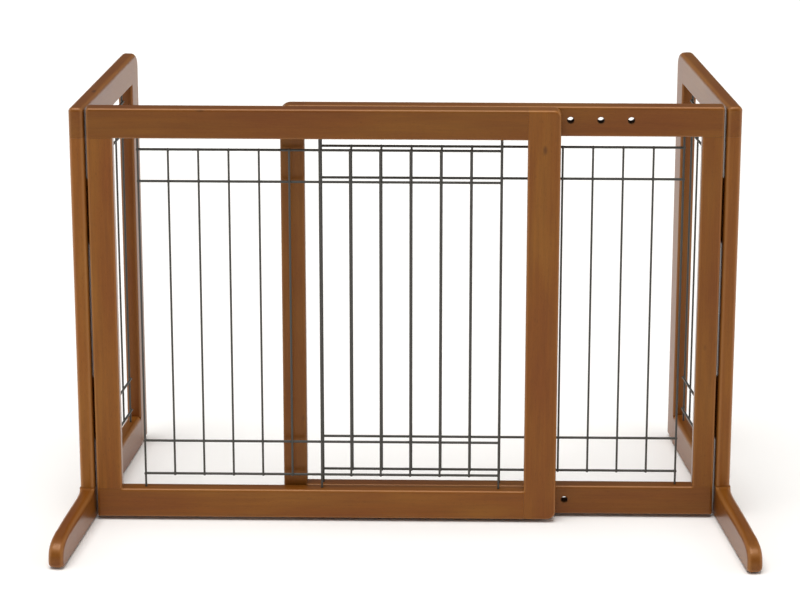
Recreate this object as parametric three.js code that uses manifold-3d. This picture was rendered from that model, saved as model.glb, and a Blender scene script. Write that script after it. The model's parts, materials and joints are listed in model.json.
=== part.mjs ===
// A freestanding wooden pet gate, in millimetres, +Z up, seen from the front along +Y.
//
// Two wood frames with wire lattices slide past each other to set the width, and two
// clamp knobs at the back hold them. A side panel, whose bottom rail runs forward as a
// foot, is hinged to the outer end of each frame, so the gate stands up by itself.
import * as THREE from "three";
import { mergeVertices } from "three/addons/utils/BufferGeometryUtils.js";
import Module from "manifold-3d";

const wasm = await Module();
wasm.setup();

// ---- Driving dimensions ----------------------------------------------------------------

// Wood
const BOARD = 18; // thickness of every board
const RAIL = 36; // height of a rail
const TOP = 506.5; // top of the gate above the floor
const FRAME_BOTTOM = 4; // the two frames hang this far above the floor
const SIDE_BOTTOM = 1.5; // underside of the side panels, just over their pads
const JOINT_GAP = 0.3; // clearance left between pieces that touch
const FRAME_GAP = 2; // between the front frame and the rear frame

// Lengths along a frame are counted from its hinged end, widths are along the frame.
const FRONT = { width: 546, hingeStile: 30, endStile: 38, firstWire: 58, topRound: 8 };
const REAR = { width: 512, hingeStile: 25, endStile: 28, firstWire: 45, topRound: 12 };

// Side panels are counted from the front edge of the front stile, towards the back.
const SIDE = { length: 290, stile: 37, firstWire: 57.5 };
const LEFT_FOOT = 160; // how far each foot reaches forward of its stile
const RIGHT_FOOT = 178;
const LEFT_TOE_IN = 7; // degrees that each side panel is turned in at the back
const RIGHT_TOE_IN = 8;

// Foot: a small round toe, then a blunt nose, then a long bow up to the stile. Points are
// [back from the tip, up from the underside], or [from the stile, from the rail's top].
const FOOT = {
  toe: 7,
  noseControls: [[0, 24], [9, 31]],
  noseEnd: [36, 33],
  bowStart: [75, 37],
  bowEnd: [-40, -4],
  liftStart: [-8, -2],
  liftControl: [-3, -1.5],
};

// Corner rounds
const SIDE_ROUND = 18; // back top corner of a side panel
const END_BOTTOM_ROUND = 10; // bottom corner of a frame's free end
const SMALL_ROUND = 5; // hinged corners, back bottom corner of a side panel

// Lattice of welded wire
const WIRE_PITCH = 35;
const FRAME_WIRES = 13;
const SIDE_WIRES = 6;
const WIRE_R = 1.25; // upright wires
const CROSS_R = 1.5; // level wires
const CROSS_HEIGHTS = [56, 97.5, 417.5, 455.5];
const WIRE_DEPTH = 8; // how far the long uprights enter the rails
const WIRE_CLEARANCE = 0.4; // round a wire in its socket
const WELD_OFFSET = 1.9; // between the centres of crossing wires

// Dowelled corner joints
const DOWEL_R = 3.85;
const DOWEL_LENGTH = 30;
const DOWEL_INSET = 8; // from the opening's edge of a rail

// Width setting: a row of holes at the wire pitch, and the bolt in one of them
const HOLE_R = 4;
const FIRST_HOLE = 107; // from the rear frame's hinged end
const TOP_HOLES = 11;
const LOWER_FIRST = 2; // the lower row starts two holes later
const WIDTH_STEP = 3; // which hole the bolts are in, 0 is the narrowest gate
const BOLT_FROM_END = 24; // from the front frame's free end
const CLAMP_HEIGHTS = { upper: 490, lower: 22.5 };

// Clamp pieces
const BOLT_R = 3;
const INSERT = { outer: 5, inner: 3.1, length: 12 };
const WASHER = { outer: 7, inner: 3.4, thickness: 1.2 };
const KNOB = { hubR: 6.5, hubHeight: 4, lobes: 6, outer: 12, inner: 10.4, height: 12 };
const BOLT_IN_KNOB = 10;

// Butt hinges
const HINGE_HEIGHT = 76;
const HINGE_CENTRES = { upper: 377, lower: 133 };
const AXIS_OFFSET = 3.4; // hinge axis from the two wood faces
const SIDE_GAP = 0.5; // between a frame's end and its side panel when square
const BARREL_CLEARANCE = 0.25; // at each end of a barrel
const LEAF_CLEARANCE = 0.6; // between a leaf's plate and the other leaf's barrel
const LEAF = { width: 15, thickness: 1.2, barrelR: 2.9, boreR: 1.6 };
const PIN = { r: 1.3, headR: 2.5, headHeight: 1.4 };

// Pads
const PAD = { length: 26, width: 10, height: 1.2, inset: 14 };

// ---- Materials --------------------------------------------------------------------------

function material(color, roughness, metalness = 0) {
  return new THREE.MeshStandardMaterial({ color, roughness, metalness });
}

const stainedWood = material(0x784d2a, 0.42);
const dowelWood = material(0xc9a878, 0.7);
const paintedWire = material(0x44423a, 0.45, 0.6);
const hingeSteel = material(0x8a7a55, 0.35, 1);
const zincSteel = material(0xb4b5b2, 0.35, 1);
const blackPlastic = material(0x1e1d1c, 0.5);
const darkRubber = material(0x2b2826, 0.85);

// ---- Helpers ----------------------------------------------------------------------------

const gate = new THREE.Group();

function add(parent, name, geometry, mat, x = 0, y = 0, z = 0) {
  const mesh = new THREE.Mesh(geometry, mat);
  mesh.name = name;
  mesh.position.set(x, y, z);
  parent.add(mesh);
  return mesh;
}

function toSolid(geometry) {
  const bare = geometry.clone();
  bare.deleteAttribute("normal");
  bare.deleteAttribute("uv");
  const merged = mergeVertices(bare, 1e-4);
  const vertProperties = merged.attributes.position.array;
  const triVerts = new Uint32Array(merged.index.array);
  return new wasm.Manifold(new wasm.Mesh({ numProp: 3, vertProperties, triVerts }));
}

function toGeometry(solid) {
  const { vertProperties, triVerts } = solid.getMesh();
  const geometry = new THREE.BufferGeometry();
  geometry.setAttribute("position", new THREE.BufferAttribute(vertProperties, 3));
  geometry.setIndex(new THREE.BufferAttribute(triVerts, 1));
  geometry.computeVertexNormals();
  return geometry;
}

function cut(geometry, tools) {
  return toGeometry(tools.reduce((solid, tool) => solid.subtract(toSolid(tool)), toSolid(geometry)));
}

function join(geometries) {
  return toGeometry(geometries.map(toSolid).reduce((whole, next) => whole.add(next)));
}

// A round bar along one axis, centred on a point.
function bar(axis, radius, length, x, y, z, sides = 10) {
  const geometry = new THREE.CylinderGeometry(radius, radius, length, sides);
  if (axis === "x") geometry.rotateZ(Math.PI / 2);
  if (axis === "z") geometry.rotateX(Math.PI / 2);
  return geometry.translate(x, y, z);
}

// A ring or tube about its own axis, which points along +Y.
function tube(inner, outer, length, sides = 16) {
  const corners = [[inner, 0], [outer, 0], [outer, length], [inner, length], [inner, 0]];
  return new THREE.LatheGeometry(corners.map(([r, y]) => new THREE.Vector2(r, y)), sides);
}

// A board's face: a rectangle in X and Z whose corners may be rounded.
function boardOutline(left, right, bottom, top, rounds = {}) {
  const { bottomLeft = 0, bottomRight = 0, topRight = 0, topLeft = 0 } = rounds;
  const quarter = Math.PI / 2;
  const outline = new THREE.Shape();
  const corner = (x, y, r, start) => {
    if (r) outline.absarc(x, y, r, start, start + quarter, false);
    else outline.lineTo(x, y);
  };
  outline.moveTo(left + bottomLeft, bottom);
  outline.lineTo(right - bottomRight, bottom);
  corner(right - bottomRight, bottom + bottomRight, bottomRight, -quarter);
  corner(right - topRight, top - topRight, topRight, 0);
  corner(left + topLeft, top - topLeft, topLeft, quarter);
  if (bottomLeft) corner(left + bottomLeft, bottom + bottomLeft, bottomLeft, 2 * quarter);
  return outline;
}

// An upright board in the XZ plane, with its thickness centred on y = 0.
function board(outline) {
  const options = { depth: BOARD, bevelEnabled: false, curveSegments: 3 };
  return new THREE.ExtrudeGeometry(outline, options).translate(0, 0, -BOARD / 2).rotateX(Math.PI / 2);
}

// ---- Pieces of a panel --------------------------------------------------------------------

// Welded lattice: the uprights that isLong picks are longer and enter the rails.
function lattice(firstWire, count, isLong, backwards) {
  const last = firstWire + WIRE_PITCH * (count - 1);
  const lowest = CROSS_HEIGHTS[0] - CROSS_R;
  const highest = CROSS_HEIGHTS.at(-1) + CROSS_R;
  const bars = [];
  for (let k = 0; k < count; k += 1) {
    const bottom = isLong(k) ? FRAME_BOTTOM + RAIL - WIRE_DEPTH : lowest;
    const top = isLong(k) ? TOP - RAIL + WIRE_DEPTH : highest;
    const x = firstWire + WIRE_PITCH * k;
    bars.push(bar("z", WIRE_R, top - bottom, x, 0, (top + bottom) / 2, 6));
  }
  for (const z of CROSS_HEIGHTS) {
    const length = last - firstWire + 2 * WIRE_R;
    bars.push(bar("x", CROSS_R, length, (firstWire + last) / 2, backwards * WELD_OFFSET, z, 6));
  }
  return join(bars);
}

function wireHoles(firstWire, count, isLong, edge) {
  const depth = WIRE_DEPTH + JOINT_GAP;
  const holes = [];
  for (let k = 0; k < count; k += 1) {
    if (!isLong(k)) continue;
    const x = firstWire + WIRE_PITCH * k;
    holes.push(bar("z", WIRE_R + WIRE_CLEARANCE, 2 * depth, x, 0, edge, 8));
  }
  return holes;
}

const dowelHole = (axis, x, z) =>
  bar(axis, DOWEL_R + JOINT_GAP, DOWEL_LENGTH + 2 * JOINT_GAP, x, 0, z);

// The four dowels of a panel: upright ones where a rail crosses a stile's end, level ones
// where a rail butts against a full-height stile.
function dowelPlaces(crossedX, buttX) {
  const lowerEdge = FRAME_BOTTOM + RAIL;
  const upperEdge = TOP - RAIL;
  return {
    crossed_top: { axis: "z", x: crossedX, z: upperEdge },
    crossed_bottom: { axis: "z", x: crossedX, z: lowerEdge },
    butt_top: { axis: "x", x: buttX, z: upperEdge + DOWEL_INSET },
    butt_bottom: { axis: "x", x: buttX, z: lowerEdge - DOWEL_INSET },
  };
}

function addDowels(parent, prefix, places) {
  for (const [place, { axis, x, z }] of Object.entries(places)) {
    add(parent, `${prefix}_dowel_${place}`, bar(axis, DOWEL_R, DOWEL_LENGTH, 0, 0, 0), dowelWood, x, 0, z);
  }
}

// ---- Front and rear frames ------------------------------------------------------------------

const isFrameLong = (k) => k % 6 === 0;

// A frame lies along +X from its hinged end at x = 0, with its thickness centred on y = 0.
function frame(prefix, size, backwards, topHoles, bottomHoles, stileHoles) {
  const group = new THREE.Group();
  const inner = size.width - size.endStile;
  const lowerEdge = FRAME_BOTTOM + RAIL;
  const upperEdge = TOP - RAIL;
  const dowels = dowelPlaces(size.hingeStile / 2, inner);
  const holeFor = ({ axis, x, z }) => dowelHole(axis, x, z);
  const wires = [size.firstWire, FRAME_WIRES, isFrameLong];

  const topRail = board(boardOutline(0, inner - JOINT_GAP, upperEdge, TOP, { topLeft: SMALL_ROUND }));
  const topCuts = [holeFor(dowels.crossed_top), holeFor(dowels.butt_top), ...wireHoles(...wires, upperEdge)];
  add(group, `${prefix}_top_rail`, cut(topRail, [...topCuts, ...topHoles]), stainedWood);

  const bottomRounds = { bottomLeft: SMALL_ROUND };
  const bottomRail = board(boardOutline(0, inner - JOINT_GAP, FRAME_BOTTOM, lowerEdge, bottomRounds));
  const bottomCuts = [holeFor(dowels.crossed_bottom), holeFor(dowels.butt_bottom)];
  bottomCuts.push(...wireHoles(...wires, lowerEdge), ...bottomHoles);
  add(group, `${prefix}_bottom_rail`, cut(bottomRail, bottomCuts), stainedWood);

  const hingeStile = board(boardOutline(0, size.hingeStile, lowerEdge + JOINT_GAP, upperEdge - JOINT_GAP));
  const hingeCuts = [holeFor(dowels.crossed_top), holeFor(dowels.crossed_bottom)];
  add(group, `${prefix}_hinge_stile`, cut(hingeStile, hingeCuts), stainedWood);

  const endRounds = { topRight: size.topRound, bottomRight: END_BOTTOM_ROUND };
  const endStile = board(boardOutline(inner, size.width, FRAME_BOTTOM, TOP, endRounds));
  const endCuts = [holeFor(dowels.butt_top), holeFor(dowels.butt_bottom), ...stileHoles];
  add(group, `${prefix}_end_stile`, cut(endStile, endCuts), stainedWood);

  add(group, `${prefix}_lattice`, lattice(...wires, backwards), paintedWire);
  addDowels(group, prefix, dowels);
  return group;
}

const throughHole = (k, z) =>
  bar("y", HOLE_R, BOARD + 2, FIRST_HOLE + WIRE_PITCH * k, 0, z);
const holeNumbers = [...Array(TOP_HOLES).keys()];
const upperRow = holeNumbers.map((k) => throughHole(k, CLAMP_HEIGHTS.upper));
const lowerRow = holeNumbers.slice(LOWER_FIRST).map((k) => throughHole(k, CLAMP_HEIGHTS.lower));

// The bolts meet threaded inserts let into the back of the front frame's end stile.
const boltX = FRONT.width - BOLT_FROM_END;
const insertHoles = Object.values(CLAMP_HEIGHTS).map((z) =>
  bar("y", INSERT.outer + JOINT_GAP, 2 * (INSERT.length + 2 * JOINT_GAP), boltX, BOARD / 2, z, 16));

const frontFrame = frame("front", FRONT, 1, [], [], insertHoles);
frontFrame.position.y = BOARD / 2;
gate.add(frontFrame);

// The rear frame is turned end for end, so that its hinged end is on the right.
const rearEnd = boltX + FIRST_HOLE + WIRE_PITCH * WIDTH_STEP;
const rearCentre = BOARD + FRAME_GAP + BOARD / 2;
const rearFrame = frame("rear", REAR, -1, upperRow, lowerRow, []);
rearFrame.rotation.z = Math.PI;
rearFrame.position.set(rearEnd, rearCentre, 0);
gate.add(rearFrame);

// ---- Side panels ------------------------------------------------------------------------------

// The bottom rail of a side panel runs forward as the foot, with a bowed top and a round nose.
function footRailOutline(foot) {
  const top = FRAME_BOTTOM + RAIL;
  const back = SIDE.length - SIDE.stile - JOINT_GAP;
  const fromTip = ([x, z]) => [x - foot, SIDE_BOTTOM + z];
  const fromStile = ([x, z]) => [x, top + z];
  const outline = new THREE.Shape();
  outline.moveTo(back, SIDE_BOTTOM);
  outline.lineTo(...fromTip([FOOT.toe, 0]));
  outline.quadraticCurveTo(...fromTip([0, 0]), ...fromTip([0, FOOT.toe]));
  outline.bezierCurveTo(...FOOT.noseControls.flatMap(fromTip), ...fromTip(FOOT.noseEnd));
  outline.bezierCurveTo(...fromTip(FOOT.bowStart), ...fromStile(FOOT.bowEnd), ...fromStile(FOOT.liftStart));
  outline.quadraticCurveTo(...fromStile(FOOT.liftControl), 0, top);
  outline.lineTo(back, top);
  outline.closePath();
  return outline;
}

function padGeometry() {
  const end = PAD.length / 2 - PAD.width / 2;
  const outline = new THREE.Shape();
  outline.absarc(end, 0, PAD.width / 2, -Math.PI / 2, Math.PI / 2, false);
  outline.absarc(-end, 0, PAD.width / 2, Math.PI / 2, 1.5 * Math.PI, false);
  return new THREE.ExtrudeGeometry(outline, { depth: PAD.height, bevelEnabled: false, curveSegments: 4 });
}

// A side panel lies along +X from the front edge of its front stile, like a frame.
function sidePanel(prefix, foot, backwards) {
  const group = new THREE.Group();
  const inner = SIDE.length - SIDE.stile;
  const lowerEdge = FRAME_BOTTOM + RAIL;
  const upperEdge = TOP - RAIL;
  const isLong = (k) => k === 0 || k === SIDE_WIRES - 1;
  const wires = [SIDE.firstWire, SIDE_WIRES, isLong];
  const dowels = dowelPlaces(SIDE.stile / 2, inner);
  const holeFor = ({ axis, x, z }) => dowelHole(axis, x, z);

  const footCuts = [holeFor(dowels.crossed_bottom), holeFor(dowels.butt_bottom)];
  footCuts.push(...wireHoles(...wires, lowerEdge));
  add(group, `${prefix}_foot_rail`, cut(board(footRailOutline(foot)), footCuts), stainedWood);

  const topRail = board(boardOutline(0, inner - JOINT_GAP, upperEdge, TOP, { topLeft: SMALL_ROUND }));
  const topCuts = [holeFor(dowels.crossed_top), holeFor(dowels.butt_top), ...wireHoles(...wires, upperEdge)];
  add(group, `${prefix}_top_rail`, cut(topRail, topCuts), stainedWood);

  const frontStile = board(boardOutline(0, SIDE.stile, lowerEdge + JOINT_GAP, upperEdge - JOINT_GAP));
  const frontCuts = [holeFor(dowels.crossed_top), holeFor(dowels.crossed_bottom)];
  add(group, `${prefix}_front_stile`, cut(frontStile, frontCuts), stainedWood);

  const backRounds = { topRight: SIDE_ROUND, bottomRight: SMALL_ROUND };
  const backStile = board(boardOutline(inner, SIDE.length, SIDE_BOTTOM, TOP, backRounds));
  const backCuts = [holeFor(dowels.butt_top), holeFor(dowels.butt_bottom)];
  add(group, `${prefix}_back_stile`, cut(backStile, backCuts), stainedWood);

  add(group, `${prefix}_lattice`, lattice(...wires, backwards), paintedWire);
  addDowels(group, prefix, dowels);

  const frontPad = -foot + PAD.inset + PAD.length / 2;
  const backPad = SIDE.length - PAD.inset - PAD.length / 2;
  add(group, `${prefix}_foot_pad`, padGeometry(), darkRubber, frontPad);
  add(group, `${prefix}_back_pad`, padGeometry(), darkRubber, backPad);
  return group;
}

// ---- Hinges -------------------------------------------------------------------------------------

// One leaf: a plate from the hinge axis at the origin along +X, on a wood face that is
// AXIS_OFFSET behind the axis in -Y, and its share of the barrel about Z.
function hingeLeaf(hasOuterBarrels) {
  const third = HINGE_HEIGHT / 3;
  const half = HINGE_HEIGHT / 2;
  const cutBack = LEAF.barrelR + LEAF_CLEARANCE;
  const outerX = hasOuterBarrels ? 0 : cutBack;
  const middleX = hasOuterBarrels ? cutBack : 0;
  const step = third / 2 + (hasOuterBarrels ? BARREL_CLEARANCE : -BARREL_CLEARANCE);

  const outline = new THREE.Shape();
  outline.moveTo(outerX, -half);
  outline.lineTo(LEAF.width, -half);
  outline.lineTo(LEAF.width, half);
  outline.lineTo(outerX, half);
  outline.lineTo(outerX, step);
  outline.lineTo(middleX, step);
  outline.lineTo(middleX, -step);
  outline.lineTo(outerX, -step);
  outline.closePath();
  const plate = new THREE.ExtrudeGeometry(outline, { depth: LEAF.thickness, bevelEnabled: false });
  plate.rotateX(Math.PI / 2);
  plate.translate(0, -AXIS_OFFSET + JOINT_GAP + LEAF.thickness, 0);

  const barrel = (bottom, top) =>
    tube(LEAF.boreR, LEAF.barrelR, top - bottom, 12).rotateX(Math.PI / 2).translate(0, 0, bottom);
  const barrels = hasOuterBarrels ? [barrel(-half, -step), barrel(step, half)] : [barrel(-step, step)];
  return join([plate, ...barrels]);
}

function hingePin() {
  const half = HINGE_HEIGHT / 2 + JOINT_GAP;
  const end = half + PIN.headHeight;
  const profile = [[0, -end], [PIN.headR, -end], [PIN.headR, -half], [PIN.r, -half]];
  profile.push([PIN.r, half], [PIN.headR, half], [PIN.headR, end], [0, end]);
  const points = profile.map(([r, y]) => new THREE.Vector2(r, y));
  return new THREE.LatheGeometry(points, 10).rotateX(Math.PI / 2);
}

// Hangs a side panel on the frame: hand is -1 on the left and +1 on the right. The hinge
// axis stands in the corner behind the frame's end, and the panel turns about it.
function hangSide(prefix, hand, endX, backY, foot, toeIn) {
  const pivot = new THREE.Group();
  pivot.position.set(endX + hand * (SIDE_GAP - AXIS_OFFSET), backY + AXIS_OFFSET, 0);
  gate.add(pivot);

  const turned = new THREE.Group();
  turned.rotation.z = hand * THREE.MathUtils.degToRad(toeIn);
  pivot.add(turned);

  const panel = sidePanel(prefix, foot, hand);
  panel.rotation.z = Math.PI / 2;
  panel.position.set(hand * (AXIS_OFFSET + BOARD / 2), -AXIS_OFFSET - BOARD, 0);
  turned.add(panel);

  for (const [level, z] of Object.entries(HINGE_CENTRES)) {
    const name = `${prefix}_${level}_hinge`;
    const frameLeaf = add(pivot, `${name}_frame_leaf`, hingeLeaf(true), hingeSteel, 0, 0, z);
    const sideLeaf = add(turned, `${name}_side_leaf`, hingeLeaf(false), hingeSteel, 0, 0, z);
    add(pivot, `${name}_pin`, hingePin(), hingeSteel, 0, 0, z);
    if (hand < 0) sideLeaf.rotation.set(Math.PI, 0, Math.PI / 2, "ZYX");
    else {
      frameLeaf.rotation.y = Math.PI;
      sideLeaf.rotation.z = Math.PI / 2;
    }
  }
}

hangSide("left", -1, 0, BOARD, LEFT_FOOT, LEFT_TOE_IN);
hangSide("right", 1, rearEnd, rearCentre + BOARD / 2, RIGHT_FOOT, RIGHT_TOE_IN);

// ---- Clamps ---------------------------------------------------------------------------------------

function knobGeometry() {
  const mean = (KNOB.outer + KNOB.inner) / 2;
  const swing = (KNOB.outer - KNOB.inner) / 2;
  const steps = 6 * KNOB.lobes;
  const rim = [...Array(steps).keys()].map((i) => {
    const angle = (2 * Math.PI * i) / steps;
    const r = mean + swing * Math.cos(KNOB.lobes * angle);
    return new THREE.Vector2(r * Math.cos(angle), r * Math.sin(angle));
  });
  const head = new THREE.ExtrudeGeometry(new THREE.Shape(rim), { depth: KNOB.height, bevelEnabled: false });
  head.rotateX(-Math.PI / 2).translate(0, KNOB.hubHeight, 0);
  const hub = bar("y", KNOB.hubR, KNOB.hubHeight + 2, 0, KNOB.hubHeight / 2 + 1, 0, 20);
  const boltHole = bar("y", BOLT_R + JOINT_GAP, 2 * (BOLT_IN_KNOB + JOINT_GAP), 0, 0, 0, 12);
  return cut(join([hub, head]), [boltHole]);
}

for (const [level, z] of Object.entries(CLAMP_HEIGHTS)) {
  const insertY = BOARD - JOINT_GAP - INSERT.length;
  add(gate, `${level}_insert`, tube(INSERT.inner, INSERT.outer, INSERT.length), zincSteel, boltX, insertY, z);

  const washerY = rearCentre + BOARD / 2 + JOINT_GAP;
  const washer = tube(WASHER.inner, WASHER.outer, WASHER.thickness);
  add(gate, `${level}_washer`, washer, zincSteel, boltX, washerY, z);

  const knobY = washerY + WASHER.thickness + JOINT_GAP;
  add(gate, `${level}_knob`, knobGeometry(), blackPlastic, boltX, knobY, z);

  // Backed off: the bolt's tip stays inside the rear frame, so the frames can slide.
  const tipY = BOARD + FRAME_GAP + JOINT_GAP;
  const length = knobY + BOLT_IN_KNOB - tipY;
  add(gate, `${level}_bolt`, bar("y", BOLT_R, length, 0, length / 2, 0, 12), zincSteel, boltX, tipY, z);
}

// The origin is the middle of the gate's footprint, on the floor.
const middle = new THREE.Box3().setFromObject(gate, true).getCenter(new THREE.Vector3());
gate.position.set(-middle.x, -middle.y, 0);

export default gate;
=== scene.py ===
# %% [markdown]
# # A freestanding pet gate of stained wood and wire
# The gate is joinery: flat boards with rounded edges, wire lattices set into them, two
# butt hinges on each side and two clamp knobs at the back. The CAD model holds every size
# and every joint, so this lesson never moves a part. It builds a finer mesh in the place
# of each CAD solid and gives each one a finish made only of shader nodes.
#
# We start by loading that model and by noting its box, so that at the end we can tell
# whether the fine model still fills the same space.

# %% Load the frame
import json
import math
import random

import bmesh
import bpy
from mathutils import Matrix, Vector


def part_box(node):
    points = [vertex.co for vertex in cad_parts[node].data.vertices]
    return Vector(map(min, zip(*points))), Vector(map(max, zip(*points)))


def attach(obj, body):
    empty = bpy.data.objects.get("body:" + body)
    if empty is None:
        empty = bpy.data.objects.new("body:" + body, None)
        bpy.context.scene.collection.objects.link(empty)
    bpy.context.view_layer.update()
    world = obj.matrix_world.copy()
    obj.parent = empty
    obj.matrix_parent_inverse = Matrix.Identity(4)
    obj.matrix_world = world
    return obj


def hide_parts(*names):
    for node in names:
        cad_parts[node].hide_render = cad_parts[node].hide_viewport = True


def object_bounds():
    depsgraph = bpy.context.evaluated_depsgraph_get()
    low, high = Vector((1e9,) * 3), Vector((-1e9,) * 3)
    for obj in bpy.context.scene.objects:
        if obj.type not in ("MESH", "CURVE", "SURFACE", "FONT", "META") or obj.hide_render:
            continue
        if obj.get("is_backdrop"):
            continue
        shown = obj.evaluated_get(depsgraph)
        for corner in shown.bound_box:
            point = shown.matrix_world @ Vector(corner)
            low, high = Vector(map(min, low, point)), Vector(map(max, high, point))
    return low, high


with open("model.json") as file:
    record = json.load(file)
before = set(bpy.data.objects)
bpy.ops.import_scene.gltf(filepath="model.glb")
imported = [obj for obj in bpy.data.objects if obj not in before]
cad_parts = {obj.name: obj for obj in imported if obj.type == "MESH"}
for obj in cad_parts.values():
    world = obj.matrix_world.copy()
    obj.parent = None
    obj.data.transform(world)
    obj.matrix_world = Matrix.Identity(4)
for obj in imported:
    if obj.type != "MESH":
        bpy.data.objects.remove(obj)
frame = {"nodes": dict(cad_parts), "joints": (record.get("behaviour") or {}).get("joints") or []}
cad_low, cad_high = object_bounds()
MM = 0.001
joints = {joint["name"]: joint for joint in frame["joints"]}
print("CAD box in mm:", [round(side / MM, 1) for side in cad_high - cad_low])

# %% [markdown]
# ## The camera
# A product photographer stands well back with a long lens, which keeps the boards
# straight and parallel. The camera stands three and a half metres in front of the gate
# and looks down by 18 degrees, so the tops of the rails and both feet show. The lens is
# long enough for the gate to fill most of the picture's width.

# %% Camera
CAMERA_PLACE = Vector((0.0634, -3.5761, 1.4025))
DOWN_BY = 17.94
TO_THE_LEFT_BY = 1.18
LENS_MM = 141.9
FILM_WIDTH_MM = 36


def add_object(name, data):
    made = bpy.data.objects.new(name, data)
    bpy.context.scene.collection.objects.link(made)
    return made


camera_data = bpy.data.cameras.new("camera")
camera_data.lens = LENS_MM
camera_data.sensor_width = FILM_WIDTH_MM
camera = add_object("camera", camera_data)
camera.location = CAMERA_PLACE
camera.rotation_euler = (math.radians(90 - DOWN_BY), 0, math.radians(TO_THE_LEFT_BY))
bpy.context.scene.camera = camera
print("camera stands", round(CAMERA_PLACE.length, 2), "m away")

# %% [markdown]
# ## Working along a panel
# The two frames lie along X, but the side panels are turned in a few degrees at the back.
# Modelling a board is far easier when it lies along an axis. So each panel gets a space of
# its own, turned with it, whose X runs along the panel. The turn is read from the line
# between the two pads under a side panel. `span` then measures any CAD node in that space.

# %% Panel spaces
def middle(node):
    low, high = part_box(node)
    return (low + high) / 2


def heading(prefix):
    along = middle(f"{prefix}_back_pad") - middle(f"{prefix}_foot_pad")
    return math.atan2(along.y, along.x)


FRAMES = ("front", "rear")
SIDES = ("left", "right")
SPACES = {prefix: Matrix() for prefix in FRAMES}
SPACES.update({prefix: Matrix.Rotation(heading(prefix), 4, "Z") for prefix in SIDES})
BODIES = {"front": "front_frame", "rear": "rear_frame", "left": "left_side", "right": "right_side"}


def span(node):
    """Lowest and highest corner of a CAD node in the space of its panel."""
    inverse = SPACES[node.split("_")[0]].inverted()
    points = [inverse @ vertex.co for vertex in frame["nodes"][node].data.vertices]
    low = Vector([min(p[axis] for p in points) for axis in range(3)])
    high = Vector([max(p[axis] for p in points) for axis in range(3)])
    return low, high


def mid_thickness(prefix):
    """Where the middle of a panel's boards lies through the thickness."""
    low, high = span(f"{prefix}_top_rail")
    return (low.y + high.y) / 2


for side in SIDES:
    print(side, "panel is toed in", round(abs(90 - math.degrees(heading(side))), 2), "degrees")

# %% [markdown]
# ## Meshes to objects
# Every piece below ends the same way. Its bmesh becomes an object, its faces are shaded
# smooth, edges sharper than a set angle stay crisp, and a Weighted Normal modifier lets
# the big flat faces keep their own direction, so a rounded edge shades cleanly into them.
# Then the piece rides its CAD body and stands in for its CAD node.

# %% From bmesh to piece
SHARP_ANGLE = math.radians(40)


def to_object(bm, name):
    """An object in the scene made from a bmesh, with its faces turned outwards."""
    bmesh.ops.recalc_face_normals(bm, faces=bm.faces)
    mesh = bpy.data.meshes.new(name)
    bm.to_mesh(mesh)
    bm.free()
    return add_object(name, mesh)


def shade(piece):
    piece.data.shade_smooth()
    piece.data.set_sharp_from_angle(angle=SHARP_ANGLE)
    if "even_faces" not in piece.modifiers:
        even = piece.modifiers.new("even_faces", "WEIGHTED_NORMAL")
        even.keep_sharp = True


def finish_piece(bm, name, body, node, place=Matrix()):
    """A finished piece that rides a body and stands in for one CAD node."""
    piece = to_object(bm, name)
    piece.matrix_world = place
    shade(piece)
    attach(piece, body)
    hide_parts(node)
    return piece


# %% [markdown]
# ## Cutting holes
# Holes for bolts, wires and dowels are cut as a joiner would, with one tool for all the
# holes of a board. The tool is a mesh of separate cylinders, and a Boolean modifier takes
# it away. The result is kept as the board's own mesh, and the tool is thrown away.

# %% Boolean helper
def combine(piece, tool_bm, operation="DIFFERENCE"):
    tool = to_object(tool_bm, "tool")
    tool.matrix_world = piece.matrix_world
    piece.modifiers.clear()
    change = piece.modifiers.new("change", "BOOLEAN")
    change.operation = operation
    change.solver = "EXACT"
    change.object = tool
    graph = bpy.context.evaluated_depsgraph_get()
    made = bpy.data.meshes.new_from_object(piece.evaluated_get(graph))
    piece.modifiers.clear()
    piece.data = made
    bpy.data.objects.remove(tool)
    shade(piece)


# %% [markdown]
# ## Turned shapes
# Wires, bolts, washers, pins and drills are all round, so one function turns a profile
# about an axis. The profile is a list of (radius, height) pairs. A pair with no radius is
# a pole on the axis. A profile that closes on itself, such as a washer's, says so.

# %% Lathe helper
def lathe(bm, profile, place=Matrix(), sides=24, closed=False, wobble=None):
    rings = []
    for radius, height in profile:
        if radius == 0:
            rings.append([bm.verts.new(place @ Vector((0, 0, height)))])
            continue
        ring = []
        for k in range(sides):
            turn = 2 * math.pi * k / sides
            r = radius * wobble(turn, height) if wobble else radius
            corner = Vector((r * math.cos(turn), r * math.sin(turn), height))
            ring.append(bm.verts.new(place @ corner))
        rings.append(ring)
    pairs = list(zip(rings, rings[1:]))
    if closed:
        pairs.append((rings[-1], rings[0]))
    for low, high in pairs:
        for k in range(sides):
            corners = [low[k % len(low)], low[(k + 1) % len(low)]]
            corners += [high[(k + 1) % len(high)], high[k % len(high)]]
            loop = [v for i, v in enumerate(corners) if v not in corners[:i]]
            bm.faces.new(loop)


def aim(start, end):
    """A matrix that puts Z along the way from start to end, with its origin at start."""
    turn = (end - start).to_track_quat("Z", "Y").to_matrix().to_4x4()
    return Matrix.Translation(start) @ turn


def aim_along_y(start):
    return aim(start, start + Vector((0, 1, 0)))


def rod(bm, start, end, radius, sides=16, nose=0.3):
    """A round rod with eased ends."""
    length = (end - start).length
    ease = radius * nose
    profile = [(0, 0), (radius - ease, 0), (radius, ease)]
    profile += [(radius, length - ease), (radius - ease, length), (0, length)]
    lathe(bm, profile, aim(start, end), sides)


# %% [markdown]
# ## Boards with rounded edges
# The edges of the real boards were run past a round-over cutter. We describe that as a
# short list of steps, each with how far the outline has drawn in and how deep below the
# face it lies. A slab stacks copies of its outline at these steps. The radius may change
# from point to point, because the foot is rounded more than the rest and the places where
# boards meet aren't rounded at all.

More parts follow.
